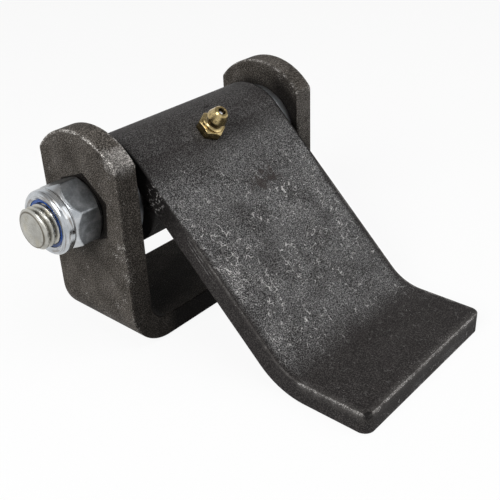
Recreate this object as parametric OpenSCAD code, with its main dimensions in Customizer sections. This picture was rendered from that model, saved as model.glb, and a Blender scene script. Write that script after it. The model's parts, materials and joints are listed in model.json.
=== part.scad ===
// Weld-on hinge for a tipping trailer body: a folded bracket carries a bolt, and a strap
// with a rolled eye swings on it. X lies along the bolt, the strap's foot points to -Y and
// the mounting faces of bracket and foot lie in the plane Z = 0.

/* [Bracket] */
// Thickness of the folded bracket plate
bracket_plate = 7.6; // [5:0.1:10]
// Inside radius of the two folds
fold_radius = 6; // [3:0.5:10]
// Depth of the ears from front edge to rear edge
ear_depth = 34.3; // [31:0.1:42]
// Height at which the straight edges of an ear end
ear_shoulder = 61.3; // [58:0.1:72]
// Rise of the arched ear top above its shoulders
ear_crown = 8.4; // [4:0.1:12]
// Radius that softens the corners between arch and straight edge
ear_corner = 1.6; // [0.4:0.1:3]

/* [Strap] */
// Width of the strap along the pivot
strap_width = 63.5; // [40:0.5:90]
// Thickness of the strap plate
strap_plate = 6.35; // [5.5:0.05:8]
// Outer radius of the rolled eye
eye_radius = 17.1; // [16:0.1:20]
// Gap between the end of the curl and the strap's underside
curl_gap = 0.7; // [0.4:0.1:2]
// Slope of the strap below the horizontal, in degrees
strap_slope = 44.25; // [43:0.25:50]
// Radius of the bend into the foot, on its upper face
foot_bend = 16.2; // [8:0.1:24]
// Length of the foot from the point where slope and foot faces would cross
foot_length = 27.9; // [20:0.1:45]
// Radius of the foot's two outer corners in plan
foot_corner = 3.2; // [0.5:0.1:6]

/* [Pivot] */
// Height of the pivot axis above the mounting face
pivot_height = 46.1; // [42:0.1:50]
// Diameter of the bolt
bolt_d = 12.7; // [11:0.1:13.5]
// Gap all round between the bolt and the ear holes
ear_hole_play = 0.4; // [0.2:0.05:0.8]
// Length of bolt past the ear on the nut side
bolt_tail = 18.3; // [15.5:0.1:24]
// Depth of the chamfer on the bolt's point
bolt_point = 1; // [0.5:0.1:2]
// Height of the bolt head, washer face included
head_height = 7.9; // [6:0.1:10]
// Wrench size of bolt head and nut
wrench_size = 19.05; // [18:0.05:24]
// Turn of the bolt head about the axis, in degrees
head_turn = 4; // [0:1:60]
// Radial running clearance between bolt and bush
bush_play = 0.05; // [0.02:0.01:0.09]
// Radial clearance between bush and eye
bush_seat = 0.02; // [0.01:0.01:0.05]
// Length of bush past each edge of the strap
bush_overhang = 1.9; // [0.8:0.1:6]
// Radius of the grease hole through the bush
grease_hole_r = 1.5; // [0.8:0.1:2]
// Thickness of a thrust washer
washer_thickness = 3; // [1.5:0.1:5]
// Outer radius of a thrust washer
washer_radius = 15; // [12:0.1:17]
// Gap all round between the bolt and a thrust washer
washer_play = 0.4; // [0.2:0.05:1]
// Running gap between each bush end and its washer
end_play = 0.2; // [0.1:0.05:0.5]

/* [Lock nut] */
// Height of the six-sided part, chamfers included
nut_hex_height = 9.9; // [8:0.1:11]
// Overall height of the nut
nut_height = 13.9; // [13:0.1:15]
// Height of the washer face under the nut and the bolt head
washer_face = 0.5; // [0.2:0.1:1]
// Radius of the washer face
washer_face_r = 9.3; // [8.5:0.1:10.5]
// Slope of the cone between hexagon and collar, in degrees
nut_cone = 35; // [30:1:48]
// Slope of the chamfer at the nut's base, in degrees
nut_base_cone = 40; // [25:1:45]
// Radius of the round collar
collar_radius = 9.9; // [9.4:0.1:10.6]
// Rounding of the collar's rim towards its top
collar_round = 1.5; // [0.5:0.1:1.6]
// Rounding of the collar's rim towards the hexagon
collar_foot = 0.7; // [0.3:0.1:1]
// Height of the crease between hexagon and collar
collar_groove = 0.3; // [0.2:0.05:0.8]
// Depth of the crease, inward from the collar's rim
collar_crease = 0.7; // [0.4:0.1:0.8]
// Radius of the opening in the collar's top
insert_window = 7.4; // [7.1:0.1:7.8]
// Radius at which the collar's top starts to dip towards its opening
collar_lip = 8.1; // [7.9:0.05:8.2]
// Dip of the collar's top at its opening
lip_dip = 0.5; // [0.2:0.1:0.6]
// Thickness of the locking ring
insert_thickness = 2.4; // [1.5:0.1:2.6]
// Depth of the locking ring below the collar's top
insert_depth = 0.7; // [0.6:0.1:1]
// Gap all round between bolt and nut, and bolt and locking ring
thread_play = 0.05; // [0.02:0.01:0.2]
// Turn of the nut about the axis, in degrees
nut_turn = 38.4; // [0:0.1:60]

/* [Grease fitting] */
// Lean of the fitting from upright towards the foot, in degrees
fitting_lean = 41; // [10:1:42]
// Place of the fitting along the pivot, from the strap's middle
fitting_shift = -0.8; // [-12:0.1:12]
// Wrench size of the fitting
fitting_wrench = 7.94; // [7.2:0.02:10]
// Height of the fitting's hexagon
fitting_hex = 3.1; // [2:0.1:4]
// Turn of that hexagon about the fitting's axis, in degrees
fitting_turn = 29; // [0:1:60]
// Radius of the flat top of that hexagon
fitting_face_r = 3.75; // [3.65:0.05:3.9]
// Radius of the flare under the neck where it meets the hexagon
fitting_flare_r = 3.5; // [3:0.05:3.6]
// Overall height of the fitting above the eye
fitting_height = 9.5; // [8.8:0.1:12]
// Radius of the neck under the fitting's head
fitting_neck_r = 2.45; // [2.2:0.05:2.8]
// Radius of the head at its lower rim
fitting_rim_r = 3.25; // [2.9:0.05:3.6]
// Height of the head's lower rim above the eye
fitting_rim_at = 5.9; // [5:0.1:6.4]
// Height of the straight band of the rim
fitting_rim_band = 0.6; // [0.3:0.1:1]
// Radius of the head at its top
fitting_nose_r = 2.3; // [2.1:0.05:2.6]
// Chamfer round the head's top
fitting_nose_edge = 0.5; // [0.2:0.05:0.7]
// Radius of the threaded shank
shank_r = 3.175; // [2.6:0.025:3.6]
// Length of the threaded shank
shank_length = 5.2; // [4:0.1:5.4]
// Radial clearance between the shank and the eye
shank_seat = 0.02; // [0.01:0.01:0.05]
// Radius of the mouth in which the ball shows
mouth_r = 1.2; // [1:0.05:1.3]
// Depth of the mouth
mouth_depth = 1.1; // [0.5:0.1:1.4]
// Radius of the spring chamber
chamber_r = 1.6; // [1.56:0.02:1.9]
// Radius of the grease outlet at the fitting's lower end
outlet_r = 0.8; // [0.5:0.1:0.9]
// Thickness of the floor that holds the spring
outlet_floor = 0.8; // [0.5:0.1:1.2]
// Radius of the check ball
ball_r = 1.5; // [1.4:0.02:1.52]
// Gap between the ball and its seat
ball_play = 0.02; // [0.01:0.01:0.05]
// Diameter of the spring wire
wire_d = 0.4; // [0.3:0.02:0.5]
// Turns of the spring
spring_turns = 9; // [6:1:12]
// Gap between the spring and the chamber wall
spring_play = 0.2; // [0.1:0.05:0.25]
// Gap between the spring's ends and what they press on
spring_seat = 0.06; // [0.02:0.01:0.1]

/* [Hidden] */
$fn = 96;

STEEL = [0.27, 0.26, 0.25];
WORN_STEEL = [0.34, 0.34, 0.34];
ZINC = [0.78, 0.81, 0.84];
BRASS = [0.72, 0.58, 0.30];
NYLON = [0.16, 0.32, 0.72];

// How far a rounding arc reaches past the faces that it joins, so that they cross cleanly
corner_bite = 0.002;
// How far two pieces of one body reach into each other
join = 0.1;
// How far a cut runs past the surface that it opens
past = 1;
// Height of the straight foot under the fitting's flare
flare_foot = 0.15;
// Slope of the chamfers on hexagons, in degrees
hex_chamfer = 30;

// Ears and folds
washer_reach = strap_width / 2 + bush_overhang + end_play;
ear_inside = washer_reach + washer_thickness;
ear_outside = ear_inside + bracket_plate;
fold_outside = fold_radius + bracket_plate;
ear_top = ear_shoulder + ear_crown;
crown_r = (pow(ear_depth / 2, 2) + pow(ear_crown, 2)) / (2 * ear_crown);
crown_z = ear_top - crown_r;
corner_y = ear_depth / 2 - ear_corner;
corner_z = crown_z + sqrt(pow(crown_r - ear_corner, 2) - pow(corner_y, 2));

// Strap
eye_bore_r = eye_radius - strap_plate;
curl_angle = asin((eye_bore_r - curl_gap) / eye_radius);
slope_length = (pivot_height + eye_radius * cos(strap_slope) - strap_plate) / sin(strap_slope);
bend_tangent = foot_bend * tan(strap_slope / 2);
knee_y = -eye_radius * sin(strap_slope) - slope_length * cos(strap_slope);
foot_end = knee_y - foot_length;

// Pivot
bolt_r = bolt_d / 2;
hex_r = wrench_size / sqrt(3);
hex_reach = hex_r + join;
chamfer_drop = (hex_reach - washer_face_r) * tan(hex_chamfer);
neck_r = collar_radius - collar_crease;
cone_drop = (hex_reach - neck_r) * tan(nut_cone);
base_drop = (hex_reach - washer_face_r) * tan(nut_base_cone);
bush_half = strap_width / 2 + bush_overhang;
insert_top = nut_height - insert_depth;

// Grease fitting, measured up its own axis from the eye's surface
fitting_hex_r = fitting_wrench / sqrt(3);
fitting_reach = fitting_hex_r + join;
fitting_chamfer = (fitting_reach - fitting_face_r) * tan(hex_chamfer);
seat_edge = fitting_height - mouth_depth;
seat_drop = chamber_r - mouth_r;
ball_at = seat_edge + mouth_r - (ball_r + ball_play) * sqrt(2);
chamber_floor = outlet_floor - shank_length;
coil_r = chamber_r - spring_play - wire_d / 2;
coil_low = chamber_floor + spring_seat + wire_d / 2;
coil_high = ball_at - sqrt(pow(ball_r + spring_seat + wire_d / 2, 2) - pow(coil_r, 2));

// Turns a shape so that its own Z lies along the pivot, its X along Y and its Y upwards
module axial() {
    rotate([90, 0, 90]) children();
}

// Puts children on the pivot, at a place along it
module on_pivot(x = 0) {
    translate([x, 0, pivot_height]) axial() children();
}

// Puts children on the fitting's axis, with Z = 0 at the surface of the eye
module on_fitting() {
    translate([fitting_shift, 0, pivot_height]) rotate([fitting_lean, 0, 0])
        translate([0, 0, eye_radius]) children();
}

// Outline of the folded plate, seen from the front
module fold_outline() {
    difference() {
        rounded_trough(ear_outside, 0, fold_outside);
        rounded_trough(ear_inside, bracket_plate, fold_radius);
    }
}

// Upright rectangle with rounded lower corners
module rounded_trough(half, floor_z, radius) {
    top = ear_top + past;
    translate([-half, floor_z + radius]) square([2 * half, top - floor_z - radius]);
    translate([-half + radius, floor_z]) square([2 * (half - radius), radius]);
    for (side = [-1, 1]) translate([side * (half - radius), floor_z + radius]) circle(radius);
}

// Piece between a corner and the arc that rounds it: it fills an inside corner or cuts an outside one.
// The two faces lie in the directions from and to, seen from the arc's centre.
module corner_piece(centre, from, to, radius, depth) {
    reach = radius + depth;
    half = (to - from) / 2;
    translate(centre) difference() {
        polygon([[0, 0], reach * [cos(from), sin(from)],
                 reach / cos(half) * [cos(from + half), sin(from + half)], reach * [cos(to), sin(to)]]);
        circle(radius + corner_bite);
    }
}

// Outline of an ear, seen along the pivot
module ear_outline() {
    crown_side = atan2(corner_z - crown_z, corner_y);
    difference() {
        intersection() {
            translate([-ear_depth / 2, 0]) square([ear_depth, 2 * ear_top]);
            union() {
                translate([0, crown_z]) circle(crown_r);
                translate([-ear_depth, -past]) square([2 * ear_depth, crown_z + past]);
            }
        }
        for (side = [0, 1]) mirror([side, 0])
            corner_piece([corner_y, corner_z], 0, crown_side, ear_corner, ear_corner);
    }
}

module bracket() {
    color(STEEL) difference() {
        intersection() {
            rotate([90, 0, 0]) linear_extrude(ear_depth, center = true) fold_outline();
            axial() linear_extrude(2 * ear_outside, center = true) ear_outline();
        }
        on_pivot() cylinder(h = 2 * (ear_outside + past), r = bolt_r + ear_hole_play, center = true);
    }
}

// Whole strap, seen along the pivot, with X down the slope and Y out of its upper face
module strap_outline() {
    clear = 2 * eye_radius;
    knee = [slope_length, eye_radius];
    foot_tip = knee + foot_length * [cos(strap_slope), sin(strap_slope)];
    bend_centre = [slope_length - bend_tangent, eye_radius + foot_bend];
    bend_end = strap_slope - 90;
    difference() {
        circle(eye_radius);
        circle(eye_bore_r);
        polygon([[0, 0], clear * [cos(curl_angle), sin(curl_angle)], [clear, clear], [0, clear]]);
    }
    difference() {
        union() {
            polygon([[0, eye_bore_r], [slope_length + strap_plate * tan(strap_slope / 2), eye_bore_r],
                     foot_tip + strap_plate * [sin(strap_slope), -cos(strap_slope)],
                     foot_tip, knee, [0, eye_radius]]);
            corner_piece(bend_centre, -90, bend_end, foot_bend, strap_plate / 2);
        }
        corner_piece(bend_centre, -90, bend_end, foot_bend + strap_plate, strap_plate);
    }
}

module hinge_strap() {
    color(WORN_STEEL) difference() {
        axial() linear_extrude(strap_width, center = true)
            translate([0, pivot_height]) rotate(180 + strap_slope) mirror([0, 1]) strap_outline();
        for (side = [0, 1]) mirror([side, 0, 0])
            translate([0, 0, -past]) linear_extrude(strap_plate + 2 * past)
                corner_piece([strap_width / 2 - foot_corner, foot_end + foot_corner], -90, 0,
                             foot_corner, foot_corner);
        on_fitting() translate([0, 0, -strap_plate - past])
            cylinder(h = strap_plate + 2 * past, r = shank_r + shank_seat);
    }
}

module eye_bush() {
    color(WORN_STEEL) difference() {
        on_pivot() cylinder(h = 2 * bush_half, r = eye_bore_r - bush_seat, center = true);
        on_pivot() cylinder(h = 2 * (bush_half + past), r = bolt_r + bush_play, center = true);
        translate([fitting_shift, 0, pivot_height]) rotate([fitting_lean, 0, 0])
            cylinder(h = eye_radius, r = grease_hole_r);
    }
}

// Six-sided block on its washer face. Its corners are turned off by a cone that ends in a flat top,
// and by a second one at the washer face if both is true.
module chamfered_hex(height, top_r, top_drop, both) {
    lower_drop = both ? base_drop : chamfer_drop;
    lower_start = both ? washer_face : washer_face - chamfer_drop;
    intersection() {
        translate([0, 0, washer_face]) cylinder(h = height - washer_face, r = hex_r, $fn = 6);
        rotate_extrude() polygon([[0, 0], [washer_face_r, 0], [washer_face_r, lower_start],
                                  [hex_reach, lower_start + lower_drop], [hex_reach, height - top_drop],
                                  [top_r, height], [0, height]]);
    }
    cylinder(h = washer_face + join, r = washer_face_r);
}

module pivot_bolt() {
    point_r = bolt_r - bolt_point;
    shank = 2 * ear_outside + bolt_tail;
    color(ZINC) {
        on_pivot(ear_outside) rotate(head_turn)
            chamfered_hex(head_height, washer_face_r, chamfer_drop, both = false);
        on_pivot(ear_outside - shank) {
            cylinder(h = bolt_point, r1 = point_r, r2 = bolt_r);
            translate([0, 0, bolt_point]) cylinder(h = shank - bolt_point + washer_face, r = bolt_r);
        }
    }
}

// Round collar of the nut on its neck, with both edges of its rim rounded
module collar() {
    rim_low = nut_hex_height + collar_groove + collar_foot;
    rim_high = nut_height - collar_round;
    translate([0, 0, nut_hex_height - join]) cylinder(h = collar_groove + collar_foot, r = neck_r);
    rotate_extrude() {
        translate([0, rim_low - collar_foot]) square([collar_radius - collar_foot, collar_foot]);
        translate([0, rim_low]) square([collar_radius, rim_high - rim_low]);
        translate([0, rim_high]) square([collar_radius - collar_round, collar_round]);
        translate([collar_radius - collar_foot, rim_low]) circle(collar_foot);
        translate([collar_radius - collar_round, rim_high]) circle(collar_round);
    }
}

module lock_nut() {
    color(ZINC) on_nut() difference() {
        union() {
            rotate(nut_turn) chamfered_hex(nut_hex_height, neck_r, cone_drop, both = true);
            collar();
        }
        rotate_extrude() nut_bore_section();
    }
}

// Half section of the nut's hole: bore, seat of the locking ring and the dip in the collar's top
module nut_bore_section() {
    ring_floor = insert_top - insert_thickness;
    lip_rise = (collar_lip - insert_window) / lip_dip;
    polygon([[0, -past], [bolt_r + thread_play, -past], [bolt_r + thread_play, ring_floor],
             [insert_window, ring_floor], [insert_window, nut_height - lip_dip],
             [collar_lip + past * lip_rise, nut_height + past], [0, nut_height + past]]);
}

// Puts children on the nut's seat, with Z pointing away from the ear
module on_nut() {
    mirror([1, 0, 0]) on_pivot(ear_outside) children();
}

module nut_insert() {
    color(NYLON) on_nut() translate([0, 0, insert_top - insert_thickness]) difference() {
        cylinder(h = insert_thickness, r = insert_window);
        translate([0, 0, -past]) cylinder(h = insert_thickness + 2 * past, r = bolt_r + thread_play);
    }
}

module thrust_washer() {
    color(ZINC) on_pivot(washer_reach) difference() {
        cylinder(h = washer_thickness, r = washer_radius);
        translate([0, 0, -past]) cylinder(h = washer_thickness + 2 * past, r = bolt_r + washer_play);
    }
}

module nut_side_washer() {
    mirror([1, 0, 0]) thrust_washer();
}

module head_side_washer() {
    thrust_washer();
}

// Half section of the fitting from its threaded end to its nose, without the hexagon
module fitting_section() {
    cove = fitting_flare_r - fitting_neck_r;
    flare_step = 22.5;
    flare_low = fitting_hex + flare_foot;
    shank = [[0, -shank_length], [shank_r, -shank_length], [shank_r, fitting_hex / 2],
             [fitting_flare_r, fitting_hex / 2]];
    flare = [for (turn = [0:flare_step:90])
        [fitting_flare_r - cove * sin(turn), flare_low + cove * (1 - cos(turn))]];
    head = [[fitting_neck_r, fitting_rim_at], [fitting_rim_r, fitting_rim_at],
            [fitting_rim_r, fitting_rim_at + fitting_rim_band],
            [fitting_nose_r, fitting_height - fitting_nose_edge],
            [fitting_nose_r - fitting_nose_edge, fitting_height], [0, fitting_height]];
    polygon(concat(shank, flare, head));
}

// Half section of the passage: outlet, spring chamber, ball seat and mouth
module passage_section() {
    polygon([[0, -shank_length - past], [outlet_r, -shank_length - past], [outlet_r, chamber_floor],
             [chamber_r, chamber_floor], [chamber_r, seat_edge - seat_drop], [mouth_r, seat_edge],
             [mouth_r, fitting_height + past], [0, fitting_height + past]]);
}

module fitting_body() {
    color(BRASS) on_fitting() difference() {
        union() {
            rotate_extrude() fitting_section();
            intersection() {
                rotate(fitting_turn) cylinder(h = fitting_hex, r = fitting_hex_r, $fn = 6);
                rotate_extrude() polygon([[0, -past], [fitting_reach, -past],
                                          [fitting_reach, fitting_hex - fitting_chamfer],
                                          [fitting_face_r, fitting_hex], [0, fitting_hex]]);
            }
        }
        rotate_extrude() passage_section();
    }
}

module fitting_ball() {
    color(ZINC) on_fitting() translate([0, 0, ball_at]) sphere(ball_r);
}

// Point on the wire's surface: part of the coil from 0 to 1, and angle round the wire
function wire_point(part, angle) =
    let (turn = 360 * spring_turns * part, out = coil_r + wire_d / 2 * cos(angle))
    [out * cos(turn), out * sin(turn), coil_low + (coil_high - coil_low) * part + wire_d / 2 * sin(angle)];

module fitting_spring() {
    sides = 6;
    rings_per_turn = 14;
    rings = spring_turns * rings_per_turn;
    points = [for (i = [0:rings], k = [0:sides - 1]) wire_point(i / rings, 360 * k / sides)];
    skin = [for (i = [0:rings - 1], k = [0:sides - 1])
        [i * sides + k, (i + 1) * sides + k, (i + 1) * sides + (k + 1) % sides, i * sides + (k + 1) % sides]];
    ends = [[for (k = [0:sides - 1]) k], [for (k = [0:sides - 1]) (rings + 1) * sides - 1 - k]];
    color(ZINC) on_fitting() polyhedron(points, concat(skin, ends));
}

bracket();
hinge_strap();
eye_bush();
pivot_bolt();
lock_nut();
nut_insert();
nut_side_washer();
head_side_washer();
fitting_body();
fitting_ball();
fitting_spring();
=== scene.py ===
import json
import math

import bmesh
import bpy
from mathutils import Matrix, Vector


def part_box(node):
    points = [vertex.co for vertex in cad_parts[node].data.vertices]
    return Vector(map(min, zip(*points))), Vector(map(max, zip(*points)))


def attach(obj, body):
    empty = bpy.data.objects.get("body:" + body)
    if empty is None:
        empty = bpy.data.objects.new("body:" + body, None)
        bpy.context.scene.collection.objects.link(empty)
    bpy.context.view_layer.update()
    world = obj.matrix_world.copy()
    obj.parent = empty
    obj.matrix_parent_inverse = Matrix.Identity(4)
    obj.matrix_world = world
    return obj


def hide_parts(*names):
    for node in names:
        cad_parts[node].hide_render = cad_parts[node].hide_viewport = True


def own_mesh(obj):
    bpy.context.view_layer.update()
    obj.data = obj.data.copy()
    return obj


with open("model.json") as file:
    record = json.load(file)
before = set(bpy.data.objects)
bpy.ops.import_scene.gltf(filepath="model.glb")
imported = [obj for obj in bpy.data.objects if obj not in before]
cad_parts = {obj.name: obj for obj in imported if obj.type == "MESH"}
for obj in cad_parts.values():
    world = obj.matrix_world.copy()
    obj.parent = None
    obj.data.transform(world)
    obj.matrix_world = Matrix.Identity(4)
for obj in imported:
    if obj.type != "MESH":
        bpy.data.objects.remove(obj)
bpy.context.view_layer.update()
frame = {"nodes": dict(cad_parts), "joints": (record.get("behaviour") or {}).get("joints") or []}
nodes = frame["nodes"]
mm = 0.001
print("frame loaded:", len(nodes), "nodes")


class Value:  # a socket that takes part in Python expressions
    def __init__(self, sheet, out):
        self.sheet, self.out = sheet, out

    def calc(self, operation, *rest):
        return self.sheet.add("ShaderNodeMath", {"operation": operation}, dict(enumerate((self, *rest))))

    def __add__(self, other):
        return self.calc("ADD", other)

    def __sub__(self, other):
        return self.calc("SUBTRACT", other)

    def __rsub__(self, other):
        return self.sheet.add("ShaderNodeMath", {"operation": "SUBTRACT"}, {0: other, 1: self})

    def __mul__(self, other):
        return self.calc("MULTIPLY", other)

    def __truediv__(self, other):
        return self.calc("DIVIDE", other)

    def __abs__(self):
        return self.calc("ABSOLUTE")

    __radd__ = __add__
    __rmul__ = __mul__

    def least(self, other):
        return self.calc("MINIMUM", other)

    def most(self, other):
        return self.calc("MAXIMUM", other)

    def root(self):
        return self.calc("SQRT")

    def rise(self, low, high):  # 0 at low, 1 at high, soft between
        return self.sheet.add("ShaderNodeMapRange", {"interpolation_type": "SMOOTHSTEP"},
                              {"Value": self, "From Min": low, "From Max": high})

    def between(self, low, high):  # low where this is 0, high where it is 1
        return self * (high - low) + low


class Sheet:  # one node tree, filled by expressions
    def __init__(self, tree):
        self.tree = tree
        tree.nodes.clear()

    def add(self, kind, settings=None, sockets=None, out=0):
        node = self.tree.nodes.new(kind)
        for key, value in (settings or {}).items():
            setattr(node, key, value)
        for key, value in (sockets or {}).items():
            if isinstance(value, Value):
                self.tree.links.new(value.out, node.inputs[key])
            else:
                node.inputs[key].default_value = value
        return Value(self, node.outputs[out]) if node.outputs else node

    def mix(self, share, low, high):  # colours
        pair = [v if isinstance(v, Value) else (*v, 1) for v in (low, high)]
        return self.add("ShaderNodeMix", {"data_type": "RGBA"}, {0: share, 6: pair[0], 7: pair[1]}, 2)

    def place(self):  # object position in mm
        where = self.add("ShaderNodeTexCoord", out="Object")
        return self.add("ShaderNodeVectorMath", {"operation": "SCALE"}, {0: where, "Scale": 1 / mm})

    def split(self, vector):
        apart = self.add("ShaderNodeSeparateXYZ", None, {0: vector})
        return [Value(self, out) for out in apart.out.node.outputs]

    def noise(self, where, size, detail, rough):  # size in mm
        return self.add("ShaderNodeTexNoise", None, {
            "Vector": where, "Scale": 1 / size, "Detail": detail, "Roughness": rough})

    def bump(self, height, strength, depth):  # depth in mm
        sockets = {"Height": height, "Strength": strength, "Distance": depth * mm}
        return self.add("ShaderNodeBump", None, sockets)


def finishOf(name, build):
    look = bpy.data.materials.new(name)
    look.use_nodes = True
    sheet = Sheet(look.node_tree)
    shader = sheet.add("ShaderNodeBsdfPrincipled", None, build(sheet))
    sheet.add("ShaderNodeOutputMaterial", None, {"Surface": shader})
    return look


def dress(piece, look):
    piece.data.materials.clear()
    piece.data.materials.append(look)


edgeWork = {"joinGap": 0.002, "flatAngle": 0.3, "sharpFrom": 22}  # mm and degrees


def joinPoints(piece):
    weld = piece.modifiers.new("weld", "WELD")
    weld.merge_threshold = edgeWork["joinGap"] * mm


def softEdges(piece, width, segments=3, angle=32, clamp=True):  # rounds the sharp edges of a solid
    joinPoints(piece)
    flat = piece.modifiers.new("flat", "DECIMATE")
    flat.decimate_type = "DISSOLVE"
    flat.angle_limit = math.radians(edgeWork["flatAngle"])
    edge = piece.modifiers.new("edge", "BEVEL")
    edge.width, edge.segments = width * mm, segments
    edge.limit_method, edge.angle_limit = "ANGLE", math.radians(angle)
    edge.miter_outer, edge.use_clamp_overlap = "MITER_ARC", clamp
    even = piece.modifiers.new("even", "WEIGHTED_NORMAL")
    even.keep_sharp = False


def length(*parts):  # of a vector given by its parts
    return sum(part * part for part in parts).root()


def nearTo(place, middle, size):  # distance from a middle, counted in sizes
    return length(*[(axis - at) / reach for axis, at, reach in zip(place, middle, size)])


# rolled plate: dark scale with pale grain, bright flecks, hair scratches, rubbed edges partly brightened as a
# painted highlight, and painted shade in corners, gaps and under parts (a few real dark marks share its
# colour)
plateMarks = {  # for both plates: sizes in mm, and the noise levels between which a mark comes in
    "sway": 4, "swaySize": 2, "breakSize": 2.0, "breakLevel": (0.5, 0.57),
    "groupSize": 7, "groupLevel": (0.45, 0.58),
    "grainLevel": (0.40, 0.70), "cloudLevel": (0.3, 0.7), "tintLevel": (0.55, 0.35), "tintShare": 0.25,
    "wearLevel": (0.3, 0.9), "polishLevel": (0.5, 0.64), "clearLevel": (0.52, 0.7), "clearShare": 0.12,
    "rough": 0.6, "roughSpread": 0.3, "metalGloss": 0.16, "metalShare": 0.75,
    "dotHeight": 0.4, "cloudHeight": 1.2, "hairHeight": 0.3, "bumpStrength": 0.6, "bumpDepth": 0.14,
}


def rolledPlate(sheet, where, plane, plate, bare, rubbedAndHighlight, flecked, scratched, shadeAndMarks, extra=None):
    marks = plateMarks
    cloud = sheet.noise(where, plate["cloudSize"], 4, 0.6)
    grain = sheet.noise(where, plate["grainSize"], 1, 0.6)
    dots = sheet.noise(where, plate["dotSize"], 1, 0.5)
    crowd = sheet.noise(where, plate["crowdSize"], 3, 0.6)

    # hair scratches: parts of a web of lines, curled by a noise
    sway = sheet.add("ShaderNodeTexNoise", None,
                     {"Vector": where, "Scale": 1 / marks["swaySize"], "Detail": 1.0}, "Color")
    spot = sheet.add("ShaderNodeCombineXYZ", None, dict(enumerate(plane)))  # place on the plate's face
    curled = sheet.add("ShaderNodeVectorMath", {"operation": "MULTIPLY_ADD"},
                       {0: sway, 1: (marks["sway"],) * 3, 2: spot})
    web = sheet.add("ShaderNodeTexVoronoi", {"feature": "DISTANCE_TO_EDGE", "voronoi_dimensions": "2D"},
                    {"Vector": curled, "Scale": 1 / plate["hairSize"]}, "Distance")
    broken = sheet.noise(where, marks["breakSize"], 2, 0.5).rise(*marks["breakLevel"])
    group = sheet.noise(where, marks["groupSize"], 2, 0.5) + flecked * plate["hairGain"]
    hair = web.rise(plate["hairWidth"] / plate["hairSize"], 0) * broken * group.rise(*marks["groupLevel"])
    hair = hair * scratched * plate["hairShare"]

    tone = grain.rise(*marks["grainLevel"]) * plate["grainShare"]
    tone = tone + cloud.rise(*marks["cloudLevel"]) * (1 - plate["grainShare"])
    low = sheet.mix(bare, plate["dark"], plate["bareDark"])
    high = sheet.mix(bare, plate["pale"], plate["barePale"])
    tinted = cloud.rise(*marks["tintLevel"]) * marks["tintShare"]
    colour = sheet.mix(tinted, sheet.mix(tone, low, high), plate["tint"])
    colour = sheet.mix(rubbedAndHighlight * plate["wornAndHighlightShare"], colour, plate["wornAndHighlight"])
    gather = bare * plate["dotGain"] + (crowd - 0.5) * plate["crowdGain"]
    gather = gather + rubbedAndHighlight.most(flecked) * plate["wearGain"]
    speck = (dots + gather - plate["dotStart"]).rise(0, 0.1) * plate["dotShare"]
    polished = rubbedAndHighlight.rise(*marks["wearLevel"]) * dots.rise(*marks["polishLevel"]) * plate["polishShare"]
    metal = speck.most(hair).most(polished)
    colour = sheet.mix(metal, colour, plate["silver"])
    if extra:
        colour = extra(sheet, colour)
    # painted shade: the mask pulls the colour to near black, broken up a little by the grain
    cleared = grain.rise(*marks["clearLevel"]) * marks["clearShare"]
    colour = sheet.mix(shadeAndMarks * (1 - cleared), colour, plate["shadeAndMarks"])
    relief = grain + dots * marks["dotHeight"] + cloud * marks["cloudHeight"] + hair * marks["hairHeight"]
    return {
        "Base Color": colour,
        "Roughness": marks["rough"] + (grain - 0.5) * marks["roughSpread"] - metal * marks["metalGloss"],
        "Metallic": metal * (1 - shadeAndMarks) * marks["metalShare"],
        "Specular IOR Level": plate["shine"],
        "Normal": sheet.bump(relief, marks["bumpStrength"], marks["bumpDepth"]),
    }


bracketPlate = {
    # section, in mm
    "foldX": 30.85, "foldZ": 13.6, "foldRadius": 13.6, "thickness": 7.6,
    "halfDepth": 17.15, "crownZ": 47.993, "crownRadius": 21.707, "pivotZ": 46.1, "edge": 1.0,
    # finish
    "dark": (0.013, 0.0112, 0.0098), "pale": (0.198, 0.178, 0.157), "tint": (0.052, 0.046, 0.039),
    "bareDark": (0.06, 0.056, 0.053), "barePale": (0.47, 0.445, 0.42), "silver": (0.80, 0.77, 0.73),
    # the near-black colour on the next line is the painted shade's
    "shadeAndMarks": (0.003, 0.0025, 0.0025), "wornAndHighlight": (0.20, 0.185, 0.17), "wornAndHighlightShare": 0.4, "shine": 0.03,
    "cloudSize": 7, "grainSize": 0.38, "grainShare": 0.8, "rubSize": 2.2, "patchSize": 6,
    "dotSize": 0.34, "dotStart": 0.765, "dotGain": 0.14, "dotShare": 0.65, "crowdSize": 4, "crowdGain": 0.8,
    "hairSize": 5, "hairWidth": 0.12, "hairShare": 0.3, "hairGain": 0, "scratched": 0.3,
    "wearGain": 0.2, "polishShare": 1.0,
    # where marks come in, from nothing to full, in mm, and how strong they are
    "outerSkin": (0.8, 0.2), "innerSkin": (1.0, 0.2), "looseSkin": (1.0, 0.3), "frontAt": (-16.6, -17.0),
    "nearEar": (-30, -40), "farEar": (30, 40), "farFront": (20, 30), "farFrontLighten": 0.25, "patchBare": 0.9,
    "rimBand": (1.2, 0.3), "rimFrom": (56, 62), "rimShare": (0.2, 1), "rimSides": (0.65, 1),
    "frontBand": (1.2, 0.1), "frontShare": 0.35,
    "scuff": (-40.5, -15.0, 63.2), "scuffSize": (5.5, 4.6, 5.0), "scuffRough": 1.4,
    "speckFront": (10, 2), "speckBelow": (52, 42), "speckShare": 0.6,
    "nutFlat": 9.525, "nutTurn": 8.4, "nutShadowShift": (0.5, 0.2), "nutShadow": (1.0, 0.4), "headRing": (13, 10.5),
    "washerShade": (20, 15), "washerShadeShare": 0.85, "innerShadeReach": (27, 17), "innerShadeFront": (5, -11),
    "lowInnerShadeBelow": (44, 20), "lowInnerShadeFront": (12, -10), "lowInnerShadeShare": (0.42, 0.82),
    "nearFrontShadeSide": (-20, -30), "nearFrontShadeBelow": (32, 15), "nearFrontShadeShare": (0.32, 0.57),
    "topFrom": (38, 60), "topShare": (0.06, 0.28),
    "baseShadowBelow": (18, 9), "baseShadowFrom": (-39, -26), "baseShadowShare": 0.98, "shadeCap": 0.92,
}


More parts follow.
